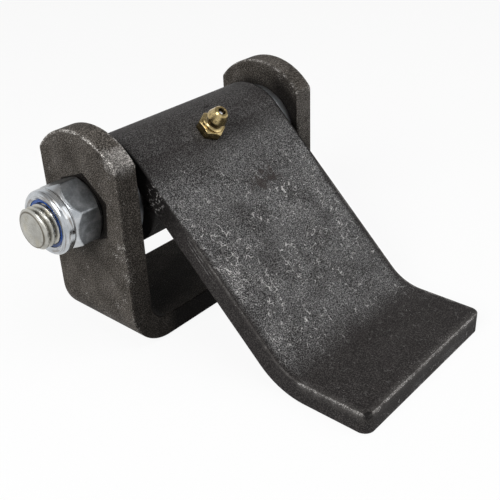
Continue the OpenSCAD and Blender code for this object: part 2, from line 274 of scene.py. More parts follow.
def bracketLook(sheet):
    part = bracketPlate
    where = sheet.place()
    x, y, z = sheet.split(where)
    outX = (abs(x) - part["foldX"]).most(0)
    downZ = (part["foldZ"] - z).most(0)
    deep = part["foldRadius"] - length(outX, downZ)  # depth below the outer face
    inner = part["thickness"] - deep
    outerFace = deep.rise(*part["outerSkin"])
    innerFace = inner.rise(*part["innerSkin"])
    frontFace = y.rise(*part["frontAt"])
    inCrown = part["crownRadius"] - length(y, z - part["crownZ"])
    pivotFar = length(y, z - part["pivotZ"])
    rub = sheet.noise(where, part["rubSize"], 3, 0.65)
    patch = sheet.noise(where, part["patchSize"], 3, 0.6)

    # rubbed edges of the arched tops and the fronts, a scuff on the near ear, flecks along its front, and the
    # far ear's front face a little lighter
    rim = length(deep, inCrown).least(length(inner, inCrown))
    rim = rim.rise(*part["rimBand"]) * z.rise(*part["rimFrom"])
    rim = rim * rub.rise(0.36, 0.56).between(*part["rimShare"]) * x.rise(10, 0).between(*part["rimSides"])
    front = length(deep, part["halfDepth"] - abs(y)).rise(*part["frontBand"])
    front = front * rub.rise(0.5, 0.7) * part["frontShare"]
    scuffed = nearTo((x, y, z), part["scuff"], part["scuffSize"]) + (rub - 0.5) * part["scuffRough"]
    bare = scuffed.rise(1.15, 0.6).most((patch - 0.55) * part["patchBare"])
    bare = bare.most(frontFace * x.rise(*part["farFront"]) * part["farFrontLighten"])
    speckled = deep.rise(*part["looseSkin"]) * (y + part["halfDepth"]).rise(*part["speckFront"])
    speckled = speckled * z.rise(*part["speckBelow"]) * patch.rise(0.3, 0.52) * part["speckShare"]

    # painted shadow of the nut, a band round its flats set off to the front; a darker ring round the head;
    # painted shade round the washers on the ears' inner faces
    nutY, nutZ = y + part["nutShadowShift"][0], z - part["pivotZ"] + part["nutShadowShift"][1]
    flats = [math.radians(part["nutTurn"] + 60 * k) for k in range(3)]
    beside = [abs(nutY * math.cos(way) + nutZ * math.sin(way)) for way in flats]
    nutFar = beside[0].most(beside[1]).most(beside[2]) - part["nutFlat"]  # distance from the nut's flats
    nutShadow = nutFar.rise(*part["nutShadow"]) * outerFace * x.rise(*part["nearEar"])
    headRing = pivotFar.rise(*part["headRing"]) * outerFace * x.rise(*part["farEar"]) * (rub * 0.5 + 0.3)
    washerShade = pivotFar.rise(*part["washerShade"]) * innerFace * part["washerShadeShare"]

    # painted shade on the inner faces round the pivot and low in the fold, painted shade on the near ear's
    # front, darker mottling towards the ears' tops, and the strap's painted shadow on the base's front
    innerShade = pivotFar.rise(*part["innerShadeReach"]) * y.rise(*part["innerShadeFront"])
    innerShade = innerShade * inner.rise(*part["looseSkin"]) * (1 - frontFace)
    lowInnerShade = y.rise(*part["lowInnerShadeFront"]).between(*part["lowInnerShadeShare"])
    lowInnerShade = lowInnerShade * innerFace * z.rise(*part["lowInnerShadeBelow"])
    nearFrontShade = frontFace * x.rise(*part["nearFrontShadeSide"]) * z.rise(*part["nearFrontShadeBelow"]).between(*part["nearFrontShadeShare"])
    topped = outerFace * z.rise(*part["topFrom"]) * patch.rise(0.5, 0.3).between(*part["topShare"])
    baseFrontShadow = frontFace * z.rise(*part["baseShadowBelow"]) * x.rise(*part["baseShadowFrom"]) * part["baseShadowShare"]
    shadeAndMarks = nutShadow
    for darkMarksAndShade in (headRing, washerShade, innerShade, lowInnerShade, nearFrontShade, topped):
        shadeAndMarks = shadeAndMarks.most(darkMarksAndShade)
    shadeAndMarks = shadeAndMarks.least(part["shadeCap"]).most(baseFrontShadow)
    return rolledPlate(sheet, where, (y, z), part, bare, rim.most(front), speckled, part["scratched"], shadeAndMarks)


strapPlate = {
    # section, in mm and degrees
    "pivotZ": 46.1, "slope": 44.25, "eyeRadius": 17.1, "thickness": 6.35,
    "halfWidth": 31.75, "footEnd": -93.21, "footTop": 6.35, "bend": 16.2, "blend": 0.3, "edge": 1.4,
    # finish
    "dark": (0.011, 0.0100, 0.0098), "pale": (0.070, 0.064, 0.062), "tint": (0.025, 0.021, 0.0205),
    "bareDark": (0.018, 0.018, 0.018), "barePale": (0.300, 0.297, 0.298), "silver": (0.85, 0.83, 0.81),
    # the near-black colour on the next line is the painted shade's, also used for the pits
    "shadeAndMarks": (0.004, 0.0035, 0.0035), "wornAndHighlight": (0.19, 0.18, 0.17), "wornAndHighlightShare": 0.55, "shine": 0.08,
    "cloudSize": 12, "grainSize": 0.34, "grainShare": 0.9, "rubSize": 3.5, "patchSize": 13,
    "dotSize": 0.3, "dotStart": 0.79, "dotGain": 0.15, "dotShare": 0.75, "crowdSize": 5, "crowdGain": 0.35,
    "hairSize": 3.3, "hairWidth": 0.21, "hairShare": 0.62, "hairGain": 0.3,
    "wearGain": 0.2, "polishShare": 0.6,
    # where marks come in, from nothing to full, in mm, and how strong they are
    "footFrom": (-58, -72), "topSkin": (2, 1), "underSkin": (2, 4), "thinSkin": (1.5, 0.8),
    "eyeBack": (2, 10),
    "margin": (1.2, 3.4), "marginDown": (18, 34), "slopeDown": (-4, 13),
    "slopeBare": (0.7, 0.9), "slopeLean": 0.003, "eyeBare": 0.2, "hiddenBare": 0.45,
    "edgeReach": (3.2, 0.6), "edgeShare": 0.4, "edgeBand": (0.92, 0.58), "bandShare": 0.85,
    "farSide": (20, 0),
    "arrisBand": (0.9, 0.6), "arrisDown": (22, 36), "arrisShare": 0.6, "lowerShare": 0.5, "away": 9,
    "nearSide": (-12, -29), "nearDown": (12, 40), "slopeFlecks": (0.3, 0.9), "footFlecks": 1.1,
    "endReach": (5, 1), "endFlecks": 2, "fleckShare": 0.35,
    "hairDown": (6, 30), "hairSlope": (0.15, 0.9), "hairTop": 0.12, "hairHidden": 0.4,
    "shadeSide": (0.9, 0.1), "shadeDown": (30, 12), "shadeShare": 0.9,
    "smudge": (6.9, 21.3), "smudgeSize": (6.5, 4.5), "smudgeColour": (0.035, 0.027, 0.025),
    "smudgeGrain": 3.2, "smudgeFall": 0.22, "smudgeShare": 0.75,
    "pits": (((5.95, -3.96, 62.72), (0.9, 0.45, 0.6)), ((-30.4, -92.3, 6.0), (1.5, 1.2, 1.2))),
    "pitShare": 0.8,
    "shearDeep": (0.8, 2.0), "shearWidth": 0.3, "shearFrom": (26, 30), "shearTo": (42, 36), "shearSway": 1.4,
    "shearShare": 0.22, "saw": (-31.75, -18.0, 49.0), "sawSize": (1.0, 4.0, 6.0), "sawShare": 0.3,
}


def strapLook(sheet):
    part = strapPlate
    where = sheet.place()
    x, y, z = place = sheet.split(where)
    cosine, sine = math.cos(math.radians(part["slope"])), math.sin(math.radians(part["slope"]))
    lift = z - part["pivotZ"]
    down = -cosine * y - sine * lift  # along the slope from the pivot
    over = -sine * y + cosine * lift  # out of its upper face
    onEye = down.rise(0.5, -0.5)
    onFoot = y.rise(*part["footFrom"])

    # depth below the upper face: on the flats, in the bend into the foot and round the eye
    bendZ = part["footTop"] + part["bend"]
    bendY = (cosine * (bendZ - part["pivotZ"]) - part["eyeRadius"] - part["bend"]) / sine
    bendDown = -cosine * bendY - sine * (bendZ - part["pivotZ"])
    blend = part["blend"]
    inBend = y.rise(bendY - blend, bendY + blend) * down.rise(bendDown - blend, bendDown + blend)
    deepFlat = (part["eyeRadius"] - over).most(part["footTop"] - z)
    deepBend = length(y - bendY, z - bendZ) - part["bend"]
    deepEye = part["eyeRadius"] - length(y, lift)
    deep = (deepFlat * (1 - inBend) + deepBend * inBend) * (1 - onEye) + deepEye * onEye
    below = part["thickness"] - deep
    inSide = part["halfWidth"] - abs(x)
    inEnd = y - part["footEnd"]
    patch = sheet.noise(where, part["patchSize"], 4, 0.6)
    rub = sheet.noise(where, part["rubSize"], 3, 0.65)

    # bare steel on the slope inside a dark margin that widens downwards, some on the hidden faces
    margin = down.rise(*part["marginDown"]).between(*part["margin"])
    topFace = deep.rise(*part["topSkin"])
    sloping = down.rise(*part["slopeDown"]) * (1 - onFoot) * (inSide / margin).rise(0.2, 1) * topFace
    hidden = deep.rise(*part["underSkin"]) * (1 - onEye) * inSide.rise(0.4, 2)
    hidden = hidden + onEye * y.rise(*part["eyeBack"])
    bare = sloping * (patch.rise(0.25, 0.75).between(*part["slopeBare"]) + x * part["slopeLean"])
    bare = bare + onEye * topFace * part["eyeBare"] + hidden * patch.rise(0.38, 0.68) * part["hiddenBare"]

    # rubbed edges, partly wear and partly a painted highlight: the foot's upper edges most, the slope's less,
    # and parts of the lower ones
    arris = length(deep, inSide)
    edge = length(deep, inEnd).least(arris + (1 - onFoot * x.rise(*part["farSide"])) * part["away"])
    lower = length(below, inEnd).least(length(below, inSide)) + onEye * part["away"]
    highlightHalf = (inEnd.least(inSide) - deep).rise(-0.4, 0.4).between(0.2, 1)  # the rounding's upper half, made brighter: painted highlight
    uneven = rub.rise(0.3, 0.6).between(0.35, 1) * patch.rise(0.32, 0.58).between(0.6, 1)
    rubbedAndHighlight = edge.rise(*part["edgeReach"]) * part["edgeShare"]
    rubbedAndHighlight = rubbedAndHighlight + edge.rise(*part["edgeBand"]) * part["bandShare"] * highlightHalf
    sloped = arris.rise(*part["arrisBand"]) * down.rise(*part["arrisDown"]) * part["arrisShare"] * highlightHalf
    scraped = lower.rise(*part["arrisBand"]) * rub.rise(0.4, 0.65) * inSide.rise(0.25, 0.6)
    rubbedAndHighlight = (rubbedAndHighlight.most(sloped) * uneven).most(scraped * part["lowerShare"])

    # flecks low on the slope's near side, on the foot and along its end, and hair scratches
    nearSide = x.rise(*part["nearSide"]) * down.rise(*part["nearDown"])
    flecked = sloping * nearSide * patch.rise(0.35, 0.6).between(*part["slopeFlecks"])
    byEnd = inEnd.rise(*part["endReach"]) * rub.rise(0.4, 0.6) * part["endFlecks"]
    thinTop = deep.rise(*part["thinSkin"])
    scattered = onFoot * thinTop * (patch.rise(0.5, 0.66) * part["footFlecks"]).most(byEnd)
    flecked = flecked.most(scattered) * part["fleckShare"]
    scratched = sloping * down.rise(*part["hairDown"]).between(*part["hairSlope"])
    scratched = scratched + thinTop * part["hairTop"] + hidden * part["hairHidden"]
    sawn = nearTo(place, part["saw"], part["sawSize"]).rise(1.1, 0.6)
    sawn = sawn * sheet.noise(where, 0.9, 3, 0.7).rise(0.54, 0.62)
    # painted shade on the side faces near the eye, in the gaps beside the ears, left out where the saw marks
    # are
    shadeAndMarks = inSide.rise(*part["shadeSide"]) * down.rise(*part["shadeDown"]) * part["shadeShare"] * (1 - sawn)

    def marks(sheet, colour):  # old stain, pits, and the traces of shear and saw on the near side
        across = (x - part["smudge"][0]) / part["smudgeSize"][0]
        along = (down - part["smudge"][1]) / part["smudgeSize"][1]
        stain = sheet.noise(where, part["smudgeGrain"], 4, 0.65) - length(across, along) * part["smudgeFall"]
        colour = sheet.mix(stain.rise(0.30, 0.46) * part["smudgeShare"], colour, part["smudgeColour"])
        for spot, size in part["pits"]:
            pit = nearTo(place, spot, size).rise(1.3, 0.7)
            colour = sheet.mix(pit * part["pitShare"], colour, part["shadeAndMarks"])
        wander = (sheet.noise(where, 9, 2, 0.5) - 0.5) * part["shearSway"]
        lines = [abs(deep - at + wander).rise(part["shearWidth"], 0) for at in part["shearDeep"]]
        line = lines[0].most(lines[1]) * inSide.rise(0.8, 0.3)
        line = line * sheet.noise(where, 1.3, 3, 0.7).rise(0.4, 0.6)
        line = line * down.rise(*part["shearFrom"]) * down.rise(*part["shearTo"]) * x.rise(20, -20)
        traces = (line * part["shearShare"]).most(sawn * part["sawShare"])
        return sheet.mix(traces, colour, part["silver"])

    return rolledPlate(sheet, where, (x, down), part, bare, rubbedAndHighlight, flecked, scratched, shadeAndMarks, marks)


dress(nodes["bracket"], finishOf("bracket_steel", bracketLook))
dress(nodes["hinge_strap"], finishOf("strap_steel", strapLook))
softEdges(nodes["bracket"], bracketPlate["edge"], segments=4)
softEdges(nodes["hinge_strap"], strapPlate["edge"], segments=5)
print("plates dressed")


# plated, turned and moulded small parts
nutZinc = {
    "pale": (0.58, 0.60, 0.62), "deep": (0.36, 0.385, 0.41), "warm": (0.46, 0.41, 0.35), "rough": 0.2,
    "reflectionStreak": (0.20, 0.175, 0.15), "reflectionStreakShare": 0.7, "fleck": (0.34, 0.35, 0.36), "fleckShare": 0.4,
    "dullAndDarkReflection": (0.135, 0.143, 0.151), "crease": (0.05, 0.04, 0.03), "creaseShare": 0.5, "spotAndSeatShadeShare": 0.85,
    "pivotZ": 46.1, "seatX": -44.45, "faceFrom": (9.3, 9.5), "collarFrom": (10.1, 10.4),  # mm
    "creaseAt": 10.1,
    "spot": (-55.6, -9.88, 45.55), "spotSize": (0.8, 0.4), "seatShade": (0.45, 0.2),
}
# the washer colours are kept dark: painted shade for the nut-side washer in its dark gap; the spring borrows
# them
washerZinc = {
    "pale": (0.16, 0.168, 0.18), "deep": (0.08, 0.084, 0.09), "warm": (0.13, 0.115, 0.10), "rough": 0.4,
    "plainZinc": (0.50, 0.52, 0.54), "plainZincFrom": (-5, 5),
}
boltZinc = {
    "pale": (0.52, 0.515, 0.48), "deep": (0.32, 0.315, 0.285), "warm": (0.50, 0.44, 0.29), "rough": 0.27,
    "valley": (0.08, 0.064, 0.04), "valleyShare": 0.55, "ringShare": 0.8, "speckShare": 0.6, "seatShare": 0.8,
    "pivotZ": 46.1, "endX": -62.75, "headX": 44.45, "endRadius": 5.4, "crest": 6.1, "root": 5.4,  # mm
}


def nutMarks(sheet, where, colour):  # dull wrench faces, rougher and painted darker as a dark reflection, painted reflection streaks on the collar, painted shade in the crease and at the seat, and a dark spot
    part = nutZinc
    x, y, z = sheet.split(where)
    height = part["seatX"] - x
    far = length(y, z - part["pivotZ"])
    cloud = sheet.noise(where, 2.5, 4, 0.65)
    slope = math.tan(math.radians(nutMake["topSlope"]))
    turnedOff = nutMake["hexHeight"] - (far - nutMake["neck"]) * slope - height  # below the turned corners
    faces = turnedOff.rise(0, 0.4) * far.rise(*part["faceFrom"])
    # the flats: a real rougher finish, with a painted dark reflection in their colour
    dullAndDarkReflection = faces * cloud.rise(0.7, 0.35).between(0.6, 0.9)
    rolled = sheet.add("ShaderNodeCombineXYZ", None, {0: (height - far) * 1.8, 1: y * 0.16, 2: z * 0.16})
    # painted reflection: dark bands round the rolled collar
    reflectionStreaks = sheet.noise(rolled, 1.0, 2, 0.5).rise(0.5, 0.66) * height.rise(*part["collarFrom"])
    flecks = faces * sheet.noise(where, 0.4, 2, 0.6).rise(0.56, 0.68)
    colour = sheet.mix(reflectionStreaks * part["reflectionStreakShare"], colour, part["reflectionStreak"])
    colour = sheet.mix(dullAndDarkReflection, colour, part["dullAndDarkReflection"])
    colour = sheet.mix(flecks * part["fleckShare"], colour, part["fleck"])
    # painted shade in the crease under the collar and at the nut's seat; the spot is a real mark
    crease = abs(height - part["creaseAt"]).rise(0.5, 0.1) * far.rise(9.6, 9.2) * part["creaseShare"]
    spot = nearTo((x, y, z), part["spot"], (1, 1, 1)).rise(*part["spotSize"])
    darkMarksAndShade = spot.most(height.rise(*part["seatShade"])) * part["spotAndSeatShadeShare"]
    return sheet.mix(crease.most(darkMarksAndShade), colour, part["crease"]), dullAndDarkReflection


def boltMarks(sheet, where, colour):  # painted shade in the thread valleys, a painted dark line round the end, dark specks there, and darker at the foot of the head
    part = boltZinc
    x, y, z = sheet.split(where)
    far = length(y, z - part["pivotZ"])
    along = x - part["endX"]
    fromHead = x - part["headX"]
    valley = far.rise(part["crest"], part["root"]) * along.rise(0.5, 1.0) * fromHead.rise(0, -2)
    ring = abs(far - part["endRadius"]).rise(0.4, 0.1) * along.rise(0.6, 0.2)
    specks = sheet.noise(where, 0.8, 3, 0.7).rise(0.62, 0.72) * along.rise(0.3, 0.1) * part["speckShare"]
    seat = fromHead.rise(1.2, 0.4) * fromHead.rise(-1, 0)
    darkMarksAndShade = (valley * part["valleyShare"]).most(ring * part["ringShare"])
    darkMarksAndShade = darkMarksAndShade.most(specks).most(seat * part["seatShare"])
    return sheet.mix(darkMarksAndShade, colour, part["valley"]), specks


def washerMarks(sheet, where, colour):  # the washer at the bolt's head gets the zinc's own colour; the dark colours left on the nut-side one are painted shade
    plainZinc = sheet.split(where)[0].rise(*washerZinc["plainZincFrom"])
    return sheet.mix(plainZinc, colour, washerZinc["plainZinc"]), 0.0


platedSkin = {  # sizes in mm, the same on nut, washers, bolt and spring
    "hazeSize": 5, "tintSize": 8, "fineSize": 0.35, "pitSize": 0.9,
    "warmShare": 0.45, "pitColour": (0.12, 0.12, 0.12), "pitShare": 0.5,
    "hazeRough": 0.2, "fineRough": 0.12, "pitRough": 0.2, "dullRough": 0.18,
}


def platedLook(part, marks=None):
    skin = platedSkin

    def build(sheet):
        where = sheet.place()
        haze = sheet.noise(where, skin["hazeSize"], 4, 0.6)
        tint = sheet.noise(where, skin["tintSize"], 2, 0.5)
        fine = sheet.noise(where, skin["fineSize"], 3, 0.7)
        pits = sheet.noise(where, skin["pitSize"], 2, 0.6).rise(0.70, 0.78)
        colour = sheet.mix(haze.rise(0.3, 0.75), part["deep"], part["pale"])
        colour = sheet.mix(tint.rise(0.52, 0.75) * skin["warmShare"], colour, part["warm"])
        colour = sheet.mix(pits * skin["pitShare"], colour, skin["pitColour"])
        dullAndDarkReflection = 0.0
        if marks:
            colour, dullAndDarkReflection = marks(sheet, where, colour)
        rough = part["rough"] + (haze - 0.5) * skin["hazeRough"] + (fine - 0.5) * skin["fineRough"]
        return {
            "Base Color": colour, "Metallic": 1.0,
            "Roughness": rough + pits * skin["pitRough"] + dullAndDarkReflection * skin["dullRough"],
            "Normal": sheet.bump(fine + haze * 1.5, strength=0.25, depth=0.05),
        }
    return build


brassTurned = {
    "pale": (0.52, 0.41, 0.21), "deep": (0.30, 0.225, 0.10), "tarnish": (0.10, 0.072, 0.036),
    "darkMarksAndShade": (0.022, 0.017, 0.011), "rough": 0.22, "tarnishShare": 0.6,
    "grooveShare": 0.75, "mouthShare": 0.95, "footShare": 0.6,
    "lean": 41, "shift": -0.8, "pivotZ": 46.1, "eyeRadius": 17.1,  # degrees and mm
    "mouth": (1.35, 1.15), "foot": (1.6, 0.3), "neck": (3.3, 4.2, 5.7, 6.0),
    "neckRadius": (3.1, 2.7), "ringPitch": 0.3,
}


def brassLook(sheet):
    part = brassTurned
    where = sheet.place()
    lean = math.radians(part["lean"])
    x, y, z = sheet.split(where)
    lift = z - part["pivotZ"]
    climb = lift * math.cos(lean) - y * math.sin(lean) - part["eyeRadius"]
    far = length(x - part["shift"], y * math.cos(lean) + lift * math.sin(lean))
    haze = sheet.noise(where, 1.8, 3, 0.6)
    fine = sheet.noise(where, 0.25, 2, 0.6)
    rings = (climb * (2 * math.pi / part["ringPitch"]) + haze * 3).calc("SINE")
    colour = sheet.mix(haze.rise(0.25, 0.75), part["deep"], part["pale"])
    tarnished = sheet.noise(where, 1.1, 3, 0.7).rise(0.52, 0.70) * part["tarnishShare"]
    colour = sheet.mix(tarnished, colour, part["tarnish"])
    # painted shade in the neck groove under the rim and inside the mouth, and darker towards the foot
    low, rise, fall, high = part["neck"]
    groove = climb.rise(low, rise) * climb.rise(high, fall) * far.rise(*part["neckRadius"])
    inside = far.rise(*part["mouth"]) * part["mouthShare"]
    foot = climb.rise(*part["foot"]) * part["footShare"]
    colour = sheet.mix((groove * part["grooveShare"]).most(inside).most(foot), colour, part["darkMarksAndShade"])
    return {
        "Base Color": colour, "Metallic": 1.0,
        "Roughness": part["rough"] + (haze - 0.5) * 0.18 + rings * 0.03,
        "Normal": sheet.bump(rings * 0.5 + fine, strength=0.2, depth=0.03),
    }


bushTurned = {"pale": (0.30, 0.29, 0.28), "deep": (0.15, 0.145, 0.14), "ringPitch": 0.4, "rough": 0.38}


def bushLook(sheet):
    part = bushTurned
    where = sheet.place()
    x = sheet.split(where)[0]
    haze = sheet.noise(where, 6, 4, 0.6)
    rings = (x * (2 * math.pi / part["ringPitch"]) + haze * 5).calc("SINE")
    return {
        "Base Color": sheet.mix((haze + rings * 0.08).rise(0.3, 0.75), part["deep"], part["pale"]),
        "Metallic": 0.9,
        "Roughness": part["rough"] + (haze - 0.5) * 0.2,
        "Normal": sheet.bump(rings, strength=0.2, depth=0.02),
    }


nylonRing = {"pale": (0.018, 0.09, 0.36), "deep": (0.009, 0.04, 0.19), "rough": 0.38}


def nylonLook(sheet):
    part = nylonRing
    where = sheet.place()
    haze = sheet.noise(where, 1.6, 3, 0.6)
    fine = sheet.noise(where, 0.3, 2, 0.6)
    return {
        "Base Color": sheet.mix(haze.rise(0.3, 0.7), part["deep"], part["pale"]),
        "Roughness": part["rough"] + (fine - 0.5) * 0.2,
        "Normal": sheet.bump(fine, strength=0.2, depth=0.03),
    }


# the ball's colour is kept darker than bare steel: painted shade of the mouth round it
ballSteel = {"pale": (0.42, 0.42, 0.42), "deep": (0.27, 0.27, 0.28), "rough": 0.16}


def ballLook(sheet):
    part = ballSteel
    haze = sheet.noise(sheet.place(), 0.7, 3, 0.6)
    return {
        "Base Color": sheet.mix(haze.rise(0.35, 0.7), part["deep"], part["pale"]), "Metallic": 1.0,
        "Roughness": part["rough"] + (haze - 0.5) * 0.08,
    }


smallEdges = {"nut_insert": 0.15, "nut_side_washer": 0.4, "head_side_washer": 0.4, "eye_bush": 0.4}  # mm
for name, width in smallEdges.items():
    softEdges(nodes[name], width, segments=2, angle=28, clamp=False)
joinPoints(nodes["fitting_ball"])
washerLook = finishOf("washer_zinc", platedLook(washerZinc, washerMarks))
dress(nodes["nut_side_washer"], washerLook)
dress(nodes["head_side_washer"], washerLook)
dress(nodes["nut_insert"], finishOf("nylon", nylonLook))
dress(nodes["eye_bush"], finishOf("bush_steel", bushLook))
dress(nodes["fitting_ball"], finishOf("ball_steel", ballLook))
print("small parts dressed")


# turned pieces: rings of (height, radius) round an axis, skinned in order
def hexOutline(flat, rounding, turn, steps):  # angles and radii round a hexagon with soft corners
    middle = (flat - rounding) / math.cos(math.radians(30))
    points = []
    for k in range(6):
        corner = math.radians(turn + 60 * k)
        for bend in (-30, -10, 10, 30):
            way = corner + math.radians(bend)
            points.append(Vector((middle * math.cos(corner) + rounding * math.cos(way),
                                  middle * math.sin(corner) + rounding * math.sin(way))))
    outline = []
    for k, here in enumerate(points):
        there = points[(k + 1) % len(points)]
        parts = steps if k % 4 == 3 else 1  # only the flats are divided
        for s in range(parts):
            spot = here.lerp(there, s / parts)
            outline.append((math.atan2(spot.y, spot.x), spot.length))
    return outline


def arcRing(height, radius, bend, start, stop, steps=6):  # rounded edge in a half section
    ways = [math.radians(start + (stop - start) * i / steps) for i in range(steps + 1)]
    return [(height + bend * math.sin(way), radius + bend * math.cos(way)) for way in ways]


def skinLoops(name, loops, closed):  # loops of points in mm
    shape = bmesh.new()
    rows = [[shape.verts.new(point * mm) for point in loop] for loop in loops]
    pairs = list(zip(rows, rows[1:]))
    if closed:
        pairs.append((rows[-1], rows[0]))
    else:
        shape.faces.new(rows[0])
        shape.faces.new(rows[-1])
    for low, high in pairs:
        for k in range(len(low)):
            n = (k + 1) % len(low)
            shape.faces.new((low[k], low[n], high[n], high[k]))
    bmesh.ops.recalc_face_normals(shape, faces=shape.faces)
    for face in shape.faces:
        face.smooth = True
    mesh = bpy.data.meshes.new(name)
    shape.to_mesh(mesh)
    shape.free()
    mesh.set_sharp_from_angle(angle=math.radians(edgeWork["sharpFrom"]))
    piece = bpy.data.objects.new(name, mesh)
    bpy.context.scene.collection.objects.link(piece)
    even = piece.modifiers.new("even", "WEIGHTED_NORMAL")
    even.keep_sharp = True
    return piece


def skinRings(name, rings, angles, seat, closed):
    def loop(ring):
        return [seat @ Vector((r * math.cos(a), r * math.sin(a), h)) for (h, r), a in zip(ring, angles)]

    return skinLoops(name, [loop(ring) for ring in rings], closed)


def onPivot(x, way):  # seat on the pivot axis, its Z along X or against it
    height = (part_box("eye_bush")[0].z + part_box("eye_bush")[1].z) / 2 / mm
    return Matrix(((0, 0, way, x), (1, 0, 0, 0), (0, 1, 0, height), (0, 0, 0, 1)))


def putIn(piece, look, body, node):
    dress(piece, look)
    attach(piece, body)
    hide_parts(node)
    print(node, "made:", len(piece.data.polygons), "faces")


nutMake = {  # mm and degrees
    "flat": 9.525, "corner": 0.9, "turn": 38.4, "steps": 12, "edge": 0.25,
    "bore": 6.4, "faceRadius": 9.3, "faceHeight": 0.5, "baseSlope": 40, "hexHeight": 9.9, "topSlope": 50,
    "neck": 9.2, "groove": 0.3, "foot": 0.7, "roll": 1.5,
    "lip": 8.1, "window": 7.4, "dip": 0.5, "ringFloor": 10.8,
}


def makeNut():  # six-sided body with turned-off corners, under a rolled collar
    part = nutMake
    ear = -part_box("bracket")[0].x / mm
    height = -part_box("lock_nut")[0].x / mm - ear
    outline = hexOutline(part["flat"], part["corner"], part["turn"], part["steps"])
    low, high = (math.tan(math.radians(part[k])) for k in ("baseSlope", "topSlope"))
    edge, neck, face = part["edge"], part["neck"], part["faceRadius"]
    base, top = part["faceHeight"], part["hexHeight"]
    collarLow = top + part["groove"] + part["foot"]
    rings = [[spot] * len(outline) for spot in ((0, part["bore"]), (0, face), (base, face))]
    rings.append([(base + (r - edge - face) * low, r - edge) for a, r in outline])
    rings.append([(base + (r - face) * low + edge, r) for a, r in outline])
    rings.append([(top - (r - neck) * high - edge, r) for a, r in outline])
    rings.append([(top - (r - edge - neck) * high, r - edge) for a, r in outline])
    section = [(top, neck)] + arcRing(collarLow, neck, part["foot"], -90, 0)
    section += arcRing(height - part["roll"], neck + part["foot"] - part["roll"], part["roll"], 0, 90, 10)
    section += [(height, part["lip"]), (height - part["dip"], part["window"]),
                (part["ringFloor"], part["window"]), (part["ringFloor"], part["bore"])]
    rings += [[spot] * len(outline) for spot in section]
    return skinRings("lock_nut_turned", rings, [a for a, r in outline], onPivot(-ear, -1), True)


putIn(makeNut(), finishOf("nut_zinc", platedLook(nutZinc, nutMarks)), "frame_bracket", "lock_nut")


fittingMake = {  # mm and degrees, heights from the eye's surface
    "flat": 3.97, "corner": 0.12, "turn": 29, "steps": 8, "edge": 0.06, "lean": 41, "shift": -0.8,
    "shankLow": -5.2, "shank": 3.175, "outlet": 0.8, "hexHeight": 3.1, "faceRadius": 3.75, "topSlope": 30,
    "flare": 3.5, "flareLow": 3.25, "neck": 2.45, "rimAt": 5.9, "rim": 3.25, "rimBand": 0.6, "height": 9.5,
    "nose": 2.3, "noseEdge": 0.5, "mouth": 1.2, "seatAt": 8.4, "chamber": 1.6, "chamberLow": -4.4,
}


def fittingSeat():  # on the eye's surface, its Z up the fitting's axis
    pivot = onPivot(0, 1)[2][3]
    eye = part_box("hinge_strap")[1].z / mm - pivot
    lean = Matrix.Rotation(math.radians(fittingMake["lean"]), 4, "X")
    return Matrix.Translation((fittingMake["shift"], 0, pivot)) @ lean @ Matrix.Translation((0, 0, eye))


def makeFitting():  # hexagon, flared neck and coned head with the mouth for the grease gun
    part = fittingMake
    outline = hexOutline(part["flat"], part["corner"], part["turn"], part["steps"])
    slope = math.tan(math.radians(part["topSlope"]))
    edge, top, face = part["edge"], part["hexHeight"], part["faceRadius"]
    cove = part["flare"] - part["neck"]
    rings = [[spot] * len(outline) for spot in (
        (part["shankLow"], part["outlet"]), (part["shankLow"], part["shank"]), (0, part["shank"]))]
    rings.append([(0, r) for a, r in outline])
    rings.append([(top - (r - face) * slope - edge, r) for a, r in outline])
    rings.append([(top - (r - edge - face) * slope, r - edge) for a, r in outline])
    rimAt, rim, height, mouth = (part[k] for k in ("rimAt", "rim", "height", "mouth"))
    section = [(top, face), (top, part["flare"])]
    section += arcRing(part["flareLow"] + cove, part["flare"], -cove, 90, 0)
    section += [(rimAt, part["neck"]), (rimAt, rim - edge), (rimAt + edge, rim)]
    section += [(rimAt + part["rimBand"], rim)]
    section += [(height - part["noseEdge"], part["nose"]), (height, part["nose"] - part["noseEdge"])]
    section += [(height, mouth + edge), (height - edge, mouth)]
    section += [(part["seatAt"], mouth), (part["seatAt"] + mouth - part["chamber"], part["chamber"])]
    section += [(part["chamberLow"], part["chamber"]), (part["chamberLow"], part["outlet"])]
    rings += [[spot] * len(outline) for spot in section]
    return skinRings("fitting_body_turned", rings, [a for a, r in outline], fittingSeat(), True)


putIn(makeFitting(), finishOf("brass", brassLook), "swing_strap", "fitting_body")


springMake = {  # mm, heights from the eye's surface
    "turns": 9, "wire": 0.2, "radius": 1.2, "low": -4.14, "high": 6.163, "ringsPerTurn": 32, "sides": 10,
}


def makeSpring():  # the coil behind the check ball
    part = springMake
    seat = fittingSeat()
    rings = part["turns"] * part["ringsPerTurn"]
    loops = []
    for i in range(rings + 1):
        turn = 2 * math.pi * i / part["ringsPerTurn"]
        height = part["low"] + (part["high"] - part["low"]) * i / rings
        loop = []
        for k in range(part["sides"]):
            way = 2 * math.pi * k / part["sides"]
            out = part["radius"] + part["wire"] * math.cos(way)
            up = height + part["wire"] * math.sin(way)
            loop.append(seat @ Vector((out * math.cos(turn), out * math.sin(turn), up)))
        loops.append(loop)
    return skinLoops("fitting_spring_coil", loops, False)


def pressSpring(spring):
    floor = fittingMake["chamberLow"]
    travel = next(joint for joint in frame["joints"] if joint["name"] == "ball_press")["range_m"][1] / mm
    1 - travel / (springMake["high"] - floor)
    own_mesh(spring)


spring = makeSpring()
springLook = finishOf("spring_steel", platedLook(washerZinc))
putIn(spring, springLook, "swing_strap", "fitting_spring")
pressSpring(spring)


